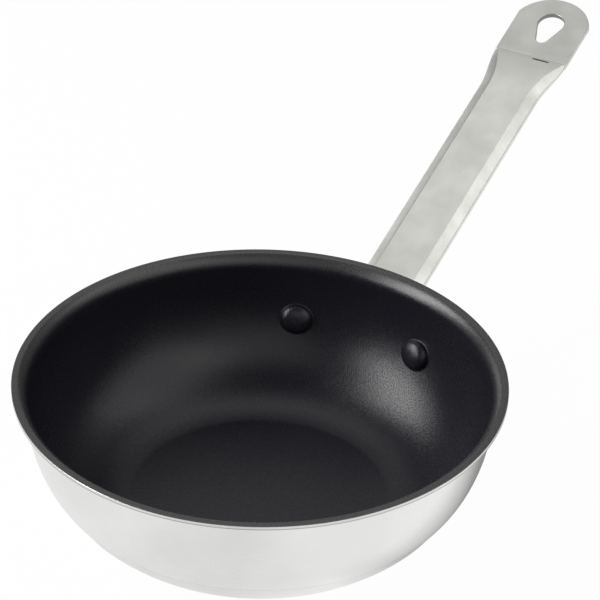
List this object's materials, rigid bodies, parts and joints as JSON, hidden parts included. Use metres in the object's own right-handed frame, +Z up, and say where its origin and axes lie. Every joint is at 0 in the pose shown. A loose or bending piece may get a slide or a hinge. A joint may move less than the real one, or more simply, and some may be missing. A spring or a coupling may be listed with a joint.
{
  "type": "saucepan",
  "caption": "Small round-bellied steel saucepan with a pouring lip, dark non-stick inside, capsule base and a long riveted tube handle with a hanging eye.",
  "frame": {"origin": "centre of the base's flat underside, where the pan stands on the hob", "axes": "+Z up out of the bowl, +X along the handle, seen from above"},
  "size_m": [0.3947, 0.2, 0.1063],
  "materials": {
    "satin_steel": "fine satin polish, turned round the pan",
    "nonstick": "sprayed dark non-stick coat with a soft sheen and a fine grain",
    "aluminium_core": "bare rolled disc, shut in by the base cap",
    "magnetic_steel": "satin polish on the side, fine turned rings underneath",
    "handle_steel": "tumbled satin steel, lightly brushed along the handle",
    "rivet_steel": "plain steel, coated over inside the pan"
  },
  "bodies": {
    "root": {"bowl": "satin_steel", "nonstick_coating": "nonstick", "heat_disc": "aluminium_core", "base_cap": "magnetic_steel", "handle_bracket": "handle_steel", "handle_tube": "handle_steel", "rivet_left": "rivet_steel", "rivet_right": "rivet_steel"}
  },
  "joints": []
}
